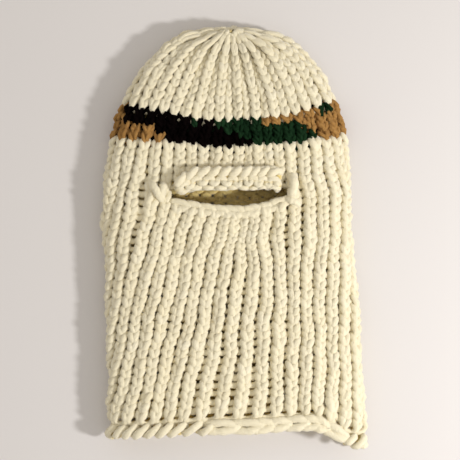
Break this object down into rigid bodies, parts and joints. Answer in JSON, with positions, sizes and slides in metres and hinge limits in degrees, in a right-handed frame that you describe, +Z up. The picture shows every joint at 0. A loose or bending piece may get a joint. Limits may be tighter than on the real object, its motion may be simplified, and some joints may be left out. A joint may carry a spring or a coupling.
{
  "type": "knitted balaclava",
  "caption": "Chunky knitted hood in cream with a dark and tan stripe, one eye slot with a turned-up lip, a gathered crown and a long neck that folds up.",
  "frame": {"origin": "middle of the footprint on the surface that the hood lies on, face side up", "axes": "+X to the right of someone looking down at the face side, +Y from hem to crown, +Z up out of the face side"},
  "size_m": [0.2638, 0.4149, 0.0463],
  "materials": {
    "cream_wool": "soft bulky knit",
    "black_wool": "soft bulky knit with a light fuzz",
    "green_wool": "soft bulky knit with a light fuzz",
    "tan_wool": "soft bulky knit with a light fuzz"
  },
  "bodies": {
    "hood": {"face_tube": "cream_wool", "forehead_band": "cream_wool", "stripe_black": "black_wool", "stripe_green": "green_wool", "stripe_tan": "tan_wool", "crown": "cream_wool", "crown_drawn_thread": "cream_wool", "crown_knot": "cream_wool", "slot_lower_chain": "cream_wool", "slot_corner_stitch_left": "cream_wool", "slot_corner_stitch_right": "cream_wool", "slot_yarn_end": "cream_wool", "stripe_yarn_start": "tan_wool", "stripe_yarn_finish": "tan_wool", "crown_yarn_end": "cream_wool"},
    "neck": {"neck_tube": "cream_wool", "hem_chain": "cream_wool", "hem_yarn_end": "cream_wool"},
    "lip": {"upper_lip": "cream_wool", "upper_lip_chain": "cream_wool"}
  },
  "joints": [
    {"name": "neck_fold", "type": "hinge", "parent": "hood", "child": "neck", "pos_m": [0, -0.06, 0.038], "axis": [-1, 0, 0], "range_deg": [0, 165]},
    {"name": "upper_lip_roll", "type": "hinge", "parent": "hood", "child": "lip", "pos_m": [-0.0064, 0.047, 0.0408], "axis": [1, 0, 0], "range_deg": [0, 165]}
  ]
}
